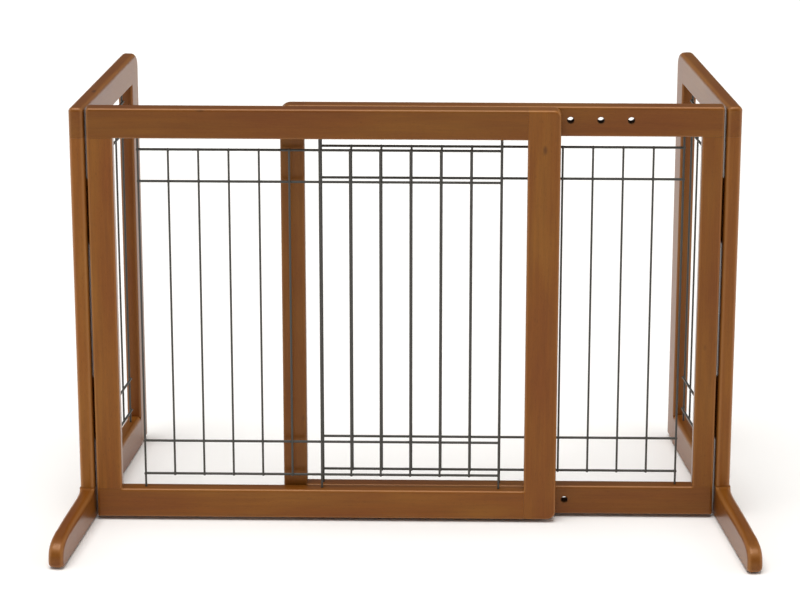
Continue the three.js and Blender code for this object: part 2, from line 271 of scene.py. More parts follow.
# %% Slab helper
ROUND_STEPS = 6
LEAST_STRETCH = 0.4  # keeps the inset of a sharp corner from running away


def round_over():
    """Shares of the radius (drawn in, below the face) from the side of a board to its face."""
    turns = [math.pi / 2 * k / ROUND_STEPS for k in range(ROUND_STEPS + 1)]
    return [(1 - math.cos(t), 1 - math.sin(t)) for t in turns]


def inward(points):
    """For each corner of a counter-clockwise outline, the way in at unit inset."""
    ways = []
    for k, here in enumerate(points):
        before = (here - points[k - 1]).normalized()
        after = (points[(k + 1) % len(points)] - here).normalized()
        bisector = Vector((-before.y - after.y, before.x + after.x)).normalized()
        stretch = max(LEAST_STRETCH, bisector.dot(Vector((-before.y, before.x))))
        ways.append(bisector / stretch)
    return ways


def slab(bm, points, radii, low_y, high_y):
    ways = inward(points)
    steps = [(drawn, below, low_y, 1) for drawn, below in reversed(round_over())]
    steps += [(drawn, below, high_y, -1) for drawn, below in round_over()]
    rings = []
    for drawn, below, face_y, sign in steps:
        ring = []
        for point, way, radius in zip(points, ways, radii):
            flat = point + way * radius * drawn
            ring.append(bm.verts.new((flat.x, face_y + sign * radius * below, flat.y)))
        rings.append(ring)
    count = len(points)
    for low, high in zip(rings, rings[1:]):
        for k in range(count):
            bm.faces.new((low[k], low[(k + 1) % count], high[(k + 1) % count], high[k]))
    bm.faces.new(list(reversed(rings[0])))
    bm.faces.new(rings[-1])


def rounded_rectangle(left, right, bottom, top, radii, steps=6):
    """Corner points, counter-clockwise from bottom left, with one radius for each corner."""
    points = []
    centres = ((left, bottom, 1, 1), (right, bottom, -1, 1), (right, top, -1, -1), (left, top, 1, -1))
    for quarter, ((x, z, to_x, to_z), radius) in enumerate(zip(centres, radii)):
        for k in range(steps + 1):
            turn = math.pi * (1 + quarter / 2) + math.pi / 2 * k / steps
            centre = Vector((x + to_x * radius, z + to_z * radius))
            points.append(centre + radius * Vector((math.cos(turn), math.sin(turn))))
    return points


# %% [markdown]
# ## A whole frame, then its members
# A real frame is glued up first and rounded afterwards, so its edges run on across the
# joints. We copy that order. A frame is a closed grid: rounded rectangles for the outer
# edge, over the front face to the opening's edge, and back over the rear face. Each
# member is then cut out of it by flat planes, a hair's width apart, which leaves the fine
# joint line that shows on the real one. The outer edges of the side panels are rounded
# more than those of the frames, but no opening is rounded by more than OPENING_ROUND.

# %% Frame helper
EDGE_ROUNDS = {prefix: (3.5 * MM, 1.5 * MM) for prefix in FRAMES}  # towards -Y, towards +Y
EDGE_ROUNDS.update({prefix: (6 * MM, 6 * MM) for prefix in SIDES})
OPENING_ROUND = 3.5 * MM
JOINT_LINE = 0.12 * MM
INNER_CORNER = 0.8 * MM
LEAST_CORNER = 0.05 * MM


def grid_frame(bm, outer, inner, faces, edge_rounds, corner_radii):
    """outer and inner are (left, right, bottom, top); each face has a round-over radius."""
    (low_y, high_y), (low_r, high_r) = faces, edge_rounds
    low_in, high_in = min(low_r, OPENING_ROUND), min(high_r, OPENING_ROUND)
    rings = []

    def ring(box, grow, radii, y):
        left, right, bottom, top = box
        limits = (left - grow, right + grow, bottom - grow, top + grow)
        grown = [max(radius + grow, LEAST_CORNER) for radius in radii]
        rings.append([bm.verts.new((p.x, y, p.y)) for p in rounded_rectangle(*limits, grown)])

    for drawn, below in reversed(round_over()):
        ring(outer, -low_r * drawn, corner_radii, low_y + low_r * below)
    for drawn, below in round_over():
        ring(outer, -high_r * drawn, corner_radii, high_y - high_r * below)
    for drawn, below in reversed(round_over()):
        ring(inner, high_in * drawn, [INNER_CORNER] * 4, high_y - high_in * below)
    for drawn, below in round_over():
        ring(inner, low_in * drawn, [INNER_CORNER] * 4, low_y + low_in * below)
    count = len(rings[0])
    for low, high in zip(rings, rings[1:] + rings[:1]):
        for k in range(count):
            bm.faces.new((low[k], low[(k + 1) % count], high[(k + 1) % count], high[k]))


def keep_side(bm, point, way):
    """Keeps what lies on the way's side of a plane through point, and closes the cut."""
    everything = bm.verts[:] + bm.edges[:] + bm.faces[:]
    bmesh.ops.bisect_plane(bm, geom=everything, plane_co=point, plane_no=way, clear_inner=True)
    open_edges = [edge for edge in bm.edges if edge.is_boundary]
    bmesh.ops.holes_fill(bm, edges=open_edges, sides=0)


# %% [markdown]
# ## Which way the grain runs
# Wood is cut with its grain along the board: level in a rail, upright in a stile. The
# shader needs to know that, so each wooden mesh carries an attribute called grain. It
# holds every point's place along the grain, across it and through the thickness, in
# metres, moved to a different part of the tree for each board.
#
# Nor do any two boards take the stain alike. A second attribute, tone, makes a whole
# board a little lighter or darker than the stain itself.

# %% Grain attribute
TREE_SIZE = 9.0
# By what share a board is lighter than the stain. Boards that aren't listed are as dark.
TONES = {"front_top_rail": -0.04, "front_bottom_rail": 0.13, "front_end_stile": 0.15,
         "front_hinge_stile": 0.22, "rear_hinge_stile": 0.06, "rear_end_stile": -0.08,
         "left_front_stile": 0.30, "right_front_stile": 0.17}
grain_draws = random.Random(20)


def lay_grain(piece, node):
    """Rails have their grain along the panel and stiles have it upright."""
    axis = 0 if node.endswith("rail") else 2
    tone = piece.data.attributes.new("tone", "FLOAT", "POINT")
    for value in tone.data:
        value.value = 1 + TONES.get(node, 0)
    start = Vector([grain_draws.uniform(0, TREE_SIZE) for _ in range(3)])
    grain = piece.data.attributes.new("grain", "FLOAT_VECTOR", "POINT")
    for vertex, value in zip(piece.data.vertices, grain.data):
        co = vertex.co
        along, across = (co.x, co.z) if axis == 0 else (co.z, co.x)
        value.vector = start + Vector((along, across, co.y))


# %% [markdown]
# ## The holes in the boards
# The boards hold three kinds of hole: sockets for the dowels in the corner joints,
# sockets for the ends of the long wires, and the setting holes in the rear frame's two
# rails, one every 35 mm. The bolts go through one in each rail, which sets the gate's
# width. Sockets are cut a hair larger than what they hold, so that no two pieces touch.

# %% Holes of a panel
WIRE_R = 1.25 * MM
WIRE_PITCH = 35 * MM
FRAME_WIRES = 13
SIDE_WIRES = 6
LONG_EVERY = 6
HOLE_R = 4 * MM
DOWEL_ROOM = 0.3 * MM
WIRE_ROOM = 0.25 * MM
CLAMP_HEIGHTS = {"upper": 490 * MM, "lower": 22.5 * MM}
FIRST_HOLE = 107 * MM
UPPER_HOLES = range(0, 11)
LOWER_HOLES = range(2, 11)


def wire_places(prefix):
    """Where the uprights stand along a panel, and which of them run on into the rails."""
    low, high = span(f"{prefix}_lattice")
    count = FRAME_WIRES if prefix in FRAMES else SIDE_WIRES
    first = (low.x + high.x - WIRE_PITCH * (count - 1)) / 2
    every = LONG_EVERY if prefix in FRAMES else count - 1
    return [(first + WIRE_PITCH * k, k % every == 0) for k in range(count)]


def cut_sockets(bm, prefix, member):
    """Dowel and wire sockets, cut where the CAD's dowels and lattice are."""
    for place in ("crossed_top", "crossed_bottom", "butt_top", "butt_bottom"):
        low, high = span(f"{prefix}_dowel_{place}")
        centre = (low + high) / 2
        level = place.startswith("butt")
        reach = (high.x - low.x if level else high.z - low.z) / 2 + DOWEL_ROOM
        way = Vector((reach, 0, 0)) if level else Vector((0, 0, reach))
        radius = (high.z - low.z if level else high.y - low.y) / 2 + DOWEL_ROOM
        rod(bm, centre - way, centre + way, radius, nose=0)
    if member.endswith("rail"):
        low, high = span(f"{prefix}_lattice")
        y = mid_thickness(prefix)
        for x, is_long in wire_places(prefix):
            if is_long:
                ends = (Vector((x, y, z)) for z in (low.z - WIRE_ROOM, high.z + WIRE_ROOM))
                rod(bm, *ends, WIRE_R + WIRE_ROOM, sides=12, nose=0)


def cut_setting_holes(bm, member):
    """The row of through holes in a rail of the rear frame, eased at both faces."""
    low, high = span(f"rear_{member}")
    level, numbers = ("upper", UPPER_HOLES) if member == "top_rail" else ("lower", LOWER_HOLES)
    depth = high.y - low.y
    ease = 0.5 * MM
    over = 1 * MM
    profile = [(0, -over), (HOLE_R + ease + over, -over), (HOLE_R, ease), (HOLE_R, depth - ease)]
    profile += [(HOLE_R + ease + over, depth + over), (0, depth + over)]
    for k in numbers:
        start = Vector((high.x - FIRST_HOLE - WIRE_PITCH * k, low.y, CLAMP_HEIGHTS[level]))
        lathe(bm, profile, aim_along_y(start), sides=28)


# %% [markdown]
# ## The wooden members
# Now the boards. At the hinged end of a panel the rails run on over the stile, and at
# the other end the stile runs from bottom to top and the rails stop against it. So each
# member has its own short list of planes. The opening and the outer edge are read from
# the CAD members. We only say how round each outer corner is: the free ends of the two
# frames and the back top corners of the side panels are well rounded, the hinged ends
# only eased.

# %% The planes that cut the members
LEFT, RIGHT = Vector((-1, 0, 0)), Vector((1, 0, 0))
DOWN, UP = Vector((0, 0, -1)), Vector((0, 0, 1))


def panel_limits(prefix):
    """Outer edge and opening of a panel as (left, right, bottom, top), and its two faces."""
    is_frame = prefix in FRAMES
    stiles = ("hinge_stile", "end_stile") if is_frame else ("front_stile", "back_stile")
    boxes = sorted((span(f"{prefix}_{stile}") for stile in stiles), key=lambda box: box[0].x)
    (first_low, first_high), (last_low, last_high) = boxes
    bottom = min(first_low.z, last_low.z)
    top_low, top_high = span(f"{prefix}_top_rail")
    opening_bottom = span(f"{prefix}_bottom_rail" if is_frame else f"{prefix}_foot_rail")[1].z
    outer = (first_low.x, last_high.x, bottom, top_high.z)
    opening = (first_high.x, last_low.x, opening_bottom, top_low.z)
    return outer, opening, (top_low.y, top_high.y)


def member_cuts(opening, hinge_on_left):
    """For each member, the planes that cut it out of the whole frame."""
    left, right, bottom, top = opening
    middle_x = (left + right) / 2
    gap = JOINT_LINE / 2
    full_x, to_full, to_hinge = (right, RIGHT, LEFT) if hinge_on_left else (left, LEFT, RIGHT)
    above = (Vector((0, 0, top + gap)), UP)
    under = (Vector((0, 0, bottom - gap)), DOWN)
    off_full = (Vector((full_x, 0, 0)) + to_hinge * gap, to_hinge)
    return {
        "top": [above, off_full],
        "bottom": [under, off_full],
        "hinged": [(Vector((0, 0, top - gap)), DOWN), (Vector((0, 0, bottom + gap)), UP),
                   (Vector((middle_x, 0, 0)), to_hinge)],
        "full": [(Vector((full_x, 0, 0)) + to_full * gap, to_full)],
    }


# %% Make the boards
ROUNDS = {  # bottom left, bottom right, top right, top left
    "front": (2 * MM, 10 * MM, 8 * MM, 4 * MM),
    "rear": (10 * MM, 2 * MM, 4 * MM, 12 * MM),
    "left": (0, 5 * MM, 18 * MM, 5 * MM),
    "right": (0, 5 * MM, 18 * MM, 5 * MM),
}
FRAME_MEMBERS = {"top": "top_rail", "bottom": "bottom_rail", "hinged": "hinge_stile", "full": "end_stile"}
SIDE_MEMBERS = {"top": "top_rail", "hinged": "front_stile", "full": "back_stile"}
INSERT_R = 5.2 * MM
INSERT_DEPTH = 12.5 * MM
wooden = []


def cut_insert_holes(bm):
    """Blind holes from the back of the front frame's free stile, for the threaded inserts."""
    back_y = panel_limits("front")[2][1]
    for z in CLAMP_HEIGHTS.values():
        mouth = Vector((middle("upper_insert").x, back_y + MM, z))
        rod(bm, mouth, mouth - Vector((0, INSERT_DEPTH + MM, 0)), INSERT_R, 28, nose=0)


def finish_board(bm, prefix, member):
    """Drills a board, gives the hole walls its second material, and lays its grain."""
    node = f"{prefix}_{member}"
    piece = finish_piece(bm, f"{node}_wood", BODIES[prefix], node, SPACES[prefix])
    piece.data.materials.append(None)
    piece.data.materials.append(None)
    tool = bmesh.new()
    cut_sockets(tool, prefix, member)
    if prefix == "rear" and member.endswith("rail"):
        cut_setting_holes(tool, member)
    if node == "front_end_stile":
        cut_insert_holes(tool)
    for face in tool.faces:
        face.material_index = 1
    combine(piece, tool)
    lay_grain(piece, node)
    wooden.append(piece)


for prefix in SPACES:
    limits = panel_limits(prefix)
    cuts = member_cuts(limits[1], prefix != "rear")
    members = FRAME_MEMBERS if prefix in FRAMES else SIDE_MEMBERS
    for part, member in members.items():
        bm = bmesh.new()
        grid_frame(bm, *limits, EDGE_ROUNDS[prefix], ROUNDS[prefix])
        for point, way in cuts[part]:
            keep_side(bm, point, way)
        finish_board(bm, prefix, member)
print("boards cut from whole frames:", len(wooden))

# %% [markdown]
# ## The foot rails
# The bottom rail of a side panel runs on forward as a foot. Its top line sags a little,
# then falls to a round nose, so it is drawn with Bezier curves, the same ones that the
# CAD solid uses. The router went deeper along the foot than on the frames, and not at all
# where the stiles stand, so the radius changes along the outline.

# %% Foot rails
FOOT_ROUND = 7 * MM
NOSE_ROUND = 5.6 * MM
RAIL_ROUND = 6 * MM
SOLE_ROUND = 2 * MM
NO_ROUND = 0.25 * MM
CORNER_STEP = 0.6 * MM
LIFT_FADE = 0.2

# Millimetres back from the foot's tip and up from its sole.
TIP_LOW, SOLE_START = (0, 7), (7, 0)
NOSE_CONTROLS = ((0, 24), (9, 31))
NOSE_END = (36, 33)
BOW_START = (75, 37)

# Millimetres from the corner between the rail's top and the front of the stile.
BOW_END = (-40, -4)
LIFT_START = (-8, -2)
LIFT_CONTROL = (-3, -1.5)


def bezier(*controls, steps=8):
    """Points of a Bezier curve, without its first one."""
    points = []
    for k in range(1, steps + 1):
        t = k / steps
        row = [Vector(c) for c in controls]
        while len(row) > 1:
            row = [a.lerp(b, t) for a, b in zip(row, row[1:])]
        points.append(row[0])
    return points


def foot_outline(tip, back, sole, top, stile_front, stile_back):
    """Outline and round-over radii of a foot rail, counter-clockwise."""
    def from_tip(spot):
        return Vector((tip, sole)) + Vector(spot) * MM

    def from_stile(spot):
        return Vector((stile_front, top)) + Vector(spot) * MM

    heel, sole_start, tip_low = Vector((back, sole)), from_tip(SOLE_START), from_tip(TIP_LOW)
    outline = [(heel, NO_ROUND), (heel - Vector((CORNER_STEP, 0)), SOLE_ROUND)]
    outline += [(heel.lerp(sole_start, share), SOLE_ROUND) for share in (0.3, 0.6)]
    outline.append((sole_start, SOLE_ROUND + MM))
    toe = bezier(sole_start, from_tip((0, 0)), tip_low, steps=5)
    nose = bezier(tip_low, *map(from_tip, NOSE_CONTROLS), from_tip(NOSE_END), steps=12)
    outline += [(point, NOSE_ROUND) for point in toe + nose]
    rise_controls = (from_tip(NOSE_END), from_tip(BOW_START), from_stile(BOW_END), from_stile(LIFT_START))
    rise = bezier(*rise_controls, steps=12)
    outline += [(point, FOOT_ROUND) for point in rise[:-1]]
    outline.append((rise[-1], RAIL_ROUND))
    lift = bezier(rise[-1], from_stile(LIFT_CONTROL), from_stile((0, 0)), steps=4)
    outline += [(point, RAIL_ROUND * (1 - LIFT_FADE * k)) for k, point in enumerate(lift[:-1])]
    outline += [(lift[-1], NO_ROUND), (Vector((stile_back, top)), NO_ROUND)]
    outline.append((Vector((stile_back + CORNER_STEP, top)), RAIL_ROUND))
    outline.append((Vector((back - CORNER_STEP, top)), RAIL_ROUND))
    outline.append((Vector((back, top)), NO_ROUND))
    outline.reverse()
    return [point for point, _ in outline], [radius for _, radius in outline]


for side in SIDES:
    low, high = span(f"{side}_foot_rail")
    _, opening, faces = panel_limits(side)
    stile_low, stile_high = span(f"{side}_front_stile")
    gap = JOINT_LINE / 2
    limits = (low.x, opening[1] - gap, low.z, high.z - gap, stile_low.x, stile_high.x)
    bm = bmesh.new()
    slab(bm, *foot_outline(*limits), *faces)
    finish_board(bm, side, "foot_rail")
    print(side, "foot rail is", round((high.x - low.x) / MM), "mm long")

# %% [markdown]
# ## The wire lattices
# Each lattice is straightened wire, laid crosswise and spot welded. Upright wires are a
# little thinner than the level ones, and every sixth one is long and runs into the rails.
# A weld squeezes the two wires together, so a small bead fills the corner between them.
# All wires of a lattice are one rigid piece, so they share one mesh.

# %% Lattices
CROSS_R = 1.5 * MM
CROSS_HEIGHTS = [z * MM for z in (56, 97.5, 417.5, 455.5)]
WELD_OFFSET = 1.9 * MM
BEAD = Vector((2.1, 1.7, 2.1)) * MM


def bead(bm, centre):
    """A weld bead: a small flattened ball where two wires cross."""
    place = Matrix.Translation(centre) @ Matrix.Diagonal((*BEAD, 1))
    bmesh.ops.create_icosphere(bm, subdivisions=2, radius=1, matrix=place)


def make_lattice(prefix):
    node = f"{prefix}_lattice"
    low, high = span(node)
    y = mid_thickness(prefix)
    level_y = y + math.copysign(WELD_OFFSET, (low.y + high.y) / 2 - y)
    places = wire_places(prefix)
    bm = bmesh.new()
    for x, is_long in places:
        bottom = low.z if is_long else CROSS_HEIGHTS[0] - CROSS_R
        top = high.z if is_long else CROSS_HEIGHTS[-1] + CROSS_R
        rod(bm, Vector((x, y, bottom)), Vector((x, y, top)), WIRE_R)
        for z in CROSS_HEIGHTS:
            bead(bm, Vector((x, (y + level_y) / 2, z)))
    for z in CROSS_HEIGHTS:
        ends = [Vector((x, level_y, z)) for x in (places[0][0] - WIRE_R, places[-1][0] + WIRE_R)]
        rod(bm, *ends, CROSS_R)
    return finish_piece(bm, f"{prefix}_wires", BODIES[prefix], node, SPACES[prefix])


lattices = [make_lattice(prefix) for prefix in SPACES]
print("wires:", 2 * (FRAME_WIRES + SIDE_WIRES + 2 * len(CROSS_HEIGHTS)))

# %% [markdown]
# ## The butt hinges
# Each hinge is two stamped leaves, curled round a pin. One leaf lies on the back of the
# frame's stile and the other on the inner face of the side panel. We model a leaf lying
# along X with the wood below it, and then turn it into place: its X points away from the
# hinge axis, its Y away from the wood. The countersunk screw holes are cut afterwards.

# %% Leaves
LEAF_WIDTH = 15 * MM
LEAF_THICK = 1.2 * MM
LEAF_LIFT = 3.1 * MM
BARREL_R = 2.9 * MM
BARREL_BORE = 1.45 * MM
LEAF_ROUND = 2.5 * MM
LEAF_EDGE = 0.25 * MM
BARREL_GAP = 0.25 * MM
CUT_BACK = 3.5 * MM
SCREW_X = 9.6 * MM
SCREW_R = 2.7 * MM
SINK_R = SCREW_R + 0.15 * MM
SHANK_HOLE_R = 1.6 * MM
SCREW_SHARES = (-0.36, 0, 0.36)


def leaf_outline(half, step, own_outer):
    """A leaf's plate in X and Z, with room cut back for the other leaf's barrels."""
    outer_x, middle_x = (0, CUT_BACK) if own_outer else (CUT_BACK, 0)
    rounded = rounded_rectangle(0, LEAF_WIDTH, -half, half, (0, LEAF_ROUND, LEAF_ROUND, 0), steps=5)
    right_side = [p for p in rounded if p.x > LEAF_WIDTH / 2]
    notch = [(outer_x, half), (outer_x, step), (middle_x, step)]
    notch += [(middle_x, -step), (outer_x, -step), (outer_x, -half)]
    return right_side + [Vector(p) for p in notch]


def make_leaf(name, node, body, place, own_outer, half):
    step = half / 3 + (BARREL_GAP if own_outer else -BARREL_GAP)
    outline = leaf_outline(half, step, own_outer)
    bm = bmesh.new()
    slab(bm, outline, [LEAF_EDGE] * len(outline), -LEAF_LIFT, -LEAF_LIFT + LEAF_THICK)
    leaf = finish_piece(bm, name, body, node, place)
    spans = [(-half, -step), (step, half)] if own_outer else [(-step, step)]
    ease = 0.3 * MM
    barrels = bmesh.new()
    for low, high in spans:
        profile = [(BARREL_BORE, low), (BARREL_R - ease, low), (BARREL_R, low + ease)]
        profile += [(BARREL_R, high - ease), (BARREL_R - ease, high), (BARREL_BORE, high)]
        lathe(barrels, profile, sides=32, closed=True)
    combine(leaf, barrels, "UNION")
    sinks = bmesh.new()
    for share in SCREW_SHARES:
        start = Vector((SCREW_X, -LEAF_LIFT - MM, 2 * half * share))
        sink = [(0, 0), (SHANK_HOLE_R, 0), (SHANK_HOLE_R, MM), (SINK_R, MM + LEAF_THICK)]
        sink += [(SINK_R, 3 * MM), (0, 3 * MM)]
        lathe(sinks, sink, aim_along_y(start), sides=24)
    combine(leaf, sinks)
    return leaf


# %% [markdown]
# ## Screws and pins
# The screws are countersunk, with a slightly domed head and a cross recess. One pattern
# screw is turned, and two bars are cut out of its head, one after the other, because a
# Boolean can come out empty when the parts of its tool cross. The hinges get copies of
# it, each turned its own way, as screws are after driving. The pin has a round head at
# both ends, so that it can't drop out of the barrels.

# %% Screws and pins
RECESS = Vector((3.2, 0.7, 1.4)) * MM
HEAD_BELOW = 0.05 * MM


def screw_mesh():
    """A countersunk wood screw, its head's top at the origin and its tip along -Z."""
    head, shank, length = 1.3 * MM, 1.3 * MM, 12 * MM
    dome = 0.25 * MM
    profile = [(0, dome * 0.6), (SCREW_R * 0.6, dome * 0.45), (SCREW_R * 0.97, 0)]
    profile += [(SCREW_R, -0.15 * MM), (shank, -head), (shank, -length + 2 * MM), (0, -length)]
    bm = bmesh.new()
    lathe(bm, profile)
    screw = to_object(bm, "screw")
    for turn in (0, math.pi / 2):
        bar = bmesh.new()
        shape = Matrix.Rotation(turn, 4, "Z") @ Matrix.Diagonal((*RECESS, 1))
        bmesh.ops.create_cube(bar, size=1, matrix=shape)
        combine(screw, bar)
    made = screw.data
    bpy.data.objects.remove(screw)
    return made


def make_pin(name, node, body, place, half):
    radius, head_r = 1.3 * MM, 2.6 * MM
    end = half + 1.7 * MM
    start = half + 0.1 * MM
    head = [(head_r, start), (head_r, start + 0.5 * MM), (head_r * 0.7, end - 0.2 * MM), (0, end)]
    profile = [(r, -z) for r, z in reversed(head)] + [(radius, -start), (radius, start)] + head
    bm = bmesh.new()
    lathe(bm, profile)
    return finish_piece(bm, name, body, node, place)


# %% Hang the hinges
SCREW_MESH = screw_mesh()
screws = []
steel = []


def leaf_place(axis_point, along, off_wood):
    columns = Matrix((along, off_wood, along.cross(off_wood))).transposed().to_4x4()
    return Matrix.Translation(axis_point) @ columns


def add_screws(prefix, body, place, half):
    for number, share in enumerate(SCREW_SHARES, start=1):
        head = Vector((SCREW_X, -LEAF_LIFT + LEAF_THICK - HEAD_BELOW, 2 * half * share))
        turn = Matrix.Rotation(grain_draws.uniform(0, math.pi), 4, "Z")
        screw = add_object(f"{prefix}_screw_{number}", SCREW_MESH.copy())
        screw.matrix_world = place @ aim_along_y(head) @ turn
        shade(screw)
        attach(screw, body)
        screws.append(screw)


for side, panel, inward_x in (("left", "front", 1), ("right", "rear", -1)):
    axis_x, axis_y, _ = joints[f"{side}_side_hinge"]["pos_m"]
    along_side = SPACES[side].to_3x3() @ Vector((1, 0, 0))
    off_side = (SPACES[side].to_3x3() @ Vector((0, -1, 0))) * inward_x
    for level in ("upper", "lower"):
        base = f"{side}_{level}_hinge"
        low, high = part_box(f"{base}_frame_leaf")
        half = (high.z - low.z) / 2
        axis_point = Vector((axis_x, axis_y, (low.z + high.z) / 2))
        frame_place = leaf_place(axis_point, Vector((inward_x, 0, 0)), Vector((0, 1, 0)))
        side_place = leaf_place(axis_point, along_side, off_side)
        leaves = (("frame", BODIES[panel], frame_place), ("side", BODIES[side], side_place))
        for kind, body, place in leaves:
            name, node = f"{base}_leaf_on_{kind}", f"{base}_{kind}_leaf"
            steel.append(make_leaf(name, node, body, place, kind == "frame", half))
        pin_place = Matrix.Translation(axis_point)
        steel.append(make_pin(f"{base}_pin_steel", f"{base}_pin", BODIES[panel], pin_place, half))
        for kind, body, place in leaves:
            add_screws(f"{base}_{kind}", body, place, half)
print("hinge pieces:", len(steel), "and screws:", len(screws), "of", len(SCREW_MESH.polygons), "faces")

# %% [markdown]
# ## The clamps
# At the back, a moulded knob with six soft lobes turns a threaded bolt through the rear
# frame. The knob is a turned form whose radius swells and shrinks as it goes round, most
# at the rim and not at all at the hub. The bolt's thread is drawn as grooves one
# millimetre apart, the pitch of a real bolt of this size, but as rings and not a helix,
# because only its ends can be seen.

# %% Knobs, bolts and washers
KNOB_LOBES = 6
LOBE_DEPTH = 0.07
NECK = 4 * MM


def knob_profile(widest, height):
    """Radius and height from the hub's face, over the rim, to the crown."""
    rim, hub = widest / (1 + LOBE_DEPTH) - 0.05 * MM, 6.4 * MM
    foot = [(0, 0), (hub - 0.5 * MM, 0), (hub, 0.5 * MM), (hub, NECK - 0.4 * MM), (hub + 0.4 * MM, NECK)]
    under = [(rim - 1.2 * MM, NECK), (rim - 0.3 * MM, NECK + 0.4 * MM), (rim, NECK + 1.4 * MM)]
    crown = [(rim, height - 4 * MM), (rim - 0.6 * MM, height - 2.3 * MM), (rim - 1.9 * MM, height - MM)]
    crown += [(rim - 3.6 * MM, height - 0.35 * MM), (rim * 0.5, height - 0.05 * MM)]
    dish = [(4.2 * MM, height - 0.05 * MM), (3.7 * MM, height - 0.7 * MM), (0, height - 0.7 * MM)]
    return foot + under + crown + dish


def lobes(turn, height):
    """How far the knob swells at a turn about its axis. The lobes fade out towards the hub."""
    grown = min(max((height - NECK + MM) / (2 * MM), 0), 1)
    return 1 + LOBE_DEPTH * grown * math.cos(KNOB_LOBES * turn)


def bolt_profile(length):
    """A rod with a groove to each millimetre."""
    root, crest, pitch = 2.5 * MM, 3 * MM, 1 * MM
    profile = [(0, 0), (root, 0)]
    for k in range(int(length / pitch) - 1):
        profile += [(root, (k + 0.5) * pitch), (crest, (k + 0.95) * pitch), (crest, (k + 1.05) * pitch)]
    return profile + [(root, length), (0, length)]


def washer_profile(wide, thick):
    bore, ease = 3.2 * MM, 0.2 * MM
    rim = [(wide - ease, 0), (wide, ease), (wide, thick - ease), (wide - ease, thick)]
    return [(bore, 0)] + rim + [(bore, thick)]


def turn_part(level, part, finish, slot, profile, **shape):
    """Turns a profile about the clamp's axis, from the front of its CAD node to the back."""
    low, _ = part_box(f"{level}_{part}")
    start = Vector((middle(f"{level}_knob").x, low.y, CLAMP_HEIGHTS[level]))
    bm = bmesh.new()
    lathe(bm, profile, aim_along_y(start), **shape)
    name, node = f"{level}_{part}_{finish}", f"{level}_{part}"
    return finish_piece(bm, name, f"{level}_clamp", node)


knobs = []
zinc_parts = []
for level in CLAMP_HEIGHTS:
    boxes = [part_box(f"{level}_{part}") for part in ("knob", "bolt", "washer")]
    knob, bolt, washer = (high - low for low, high in boxes)
    outline = knob_profile(knob.x / 2, knob.y)
    shape = {"sides": 120, "wobble": lobes}
    knobs.append(turn_part(level, "knob", "moulding", "knob_plastic", outline, **shape))
    outline = bolt_profile(bolt.y)
    zinc_parts.append(turn_part(level, "bolt", "steel", "zinc_steel", outline, sides=28))
    outline = washer_profile(washer.x / 2, washer.y)
    shape = {"sides": 40, "closed": True}
    zinc_parts.append(turn_part(level, "washer", "steel", "zinc_steel", outline, **shape))
    print(level, "knob is", round(knob.x / MM), "mm across")

# %% [markdown]
# ## The pads
# Small rubber pads keep the lacquer off the floor and stop the gate from creeping. They
# are slabs with round ends, lying flat, so the slab helper is used on its side: it stacks
# outlines along Y, and a quarter turn about X lays that stack down.

# %% Pads
PAD_EASE = 0.5 * MM
NEARLY_ROUND = 0.999  # a full half circle would put two points in one place
LAY_DOWN = Matrix.Rotation(math.radians(-90), 4, "X")
pads = []
for side in SIDES:
    for end in ("foot", "back"):
        node = f"{side}_{end}_pad"
        low, high = span(node)
        end_radius = (high.y - low.y) / 2 * NEARLY_ROUND
        outline = rounded_rectangle(low.x, high.x, low.y, high.y, [end_radius] * 4, steps=8)
        bm = bmesh.new()
        slab(bm, outline, [PAD_EASE] * len(outline), -high.z, -low.z)
        place = SPACES[side] @ LAY_DOWN
        pads.append(finish_piece(bm, f"{node}_rubber", BODIES[side], node, place))

# %% [markdown]
# ## Colours and nodes
# Colours are written as the sRGB hex values one reads from a sample, and one function
# turns them into the linear values that Blender mixes with. A second small function adds
# a node, sets what it is given, and links any socket that it is handed.
#
# Two groups of nodes come back often, so they are written once: a layer of colour laid
# over another where a pattern is strong, and the bump, shader and output at the end.

# %% Colour and node helpers
def paint(code):
    def linear(pair):
        value = int(pair, 16) / 255
        return value / 12.92 if value <= 0.04045 else ((value + 0.055) / 1.055) ** 2.4
    return (*[linear(code[k:k + 2]) for k in (1, 3, 5)], 1)


def add_node(tree, kind, inputs=None, **settings):
    made = tree.nodes.new("ShaderNode" + kind)
    for name, value in settings.items():
        setattr(made, name, value)
    for socket, value in (inputs or {}).items():
        if isinstance(value, bpy.types.NodeSocket):
            tree.links.new(value, made.inputs[socket])
        else:
            made.inputs[socket].default_value = value
    return made


def new_tree(name):
    material = bpy.data.materials.new(name)
    material.use_nodes = True
    material.node_tree.nodes.clear()
    return material, material.node_tree


def coat(pieces, material):
    for piece in pieces:
        piece.data.materials.append(material)
    print(material.name, "covers", len(pieces), "pieces")


def per_metre(size_mm):
    """The texture scale that makes one pattern step as long as size_mm."""
    return 1 / (size_mm * MM)


def layer(tree, under, pattern, ends, shares, code):
    """Lays a colour over another. As the pattern goes from one of the ends to the other,
    the colour's share goes from the first of the shares to the last."""
    limits = {"From Min": ends[0], "From Max": ends[1], "To Min": shares[0], "To Max": shares[1]}
    share = add_node(tree, "MapRange", {"Value": pattern, **limits}).outputs["Result"]
    over = add_node(tree, "Mix", {"Factor": share, "A": under, "B": paint(code)}, data_type="RGBA")
    return over.outputs["Result"], share


def surface(tree, colour, roughness, relief, strength, depth_mm, **shader):
    """Ends a material with a bump of the relief, the shader and the output."""
    bump = add_node(tree, "Bump", {"Height": relief, "Strength": strength, "Distance": depth_mm * MM})
    inputs = {"Base Color": colour, "Roughness": roughness, "Normal": bump.outputs["Normal"]}
    for name, value in shader.items():
        inputs[name.replace("_", " ")] = value
    made = add_node(tree, "BsdfPrincipled", inputs)
    add_node(tree, "OutputMaterial", {"Surface": made.outputs["BSDF"]})


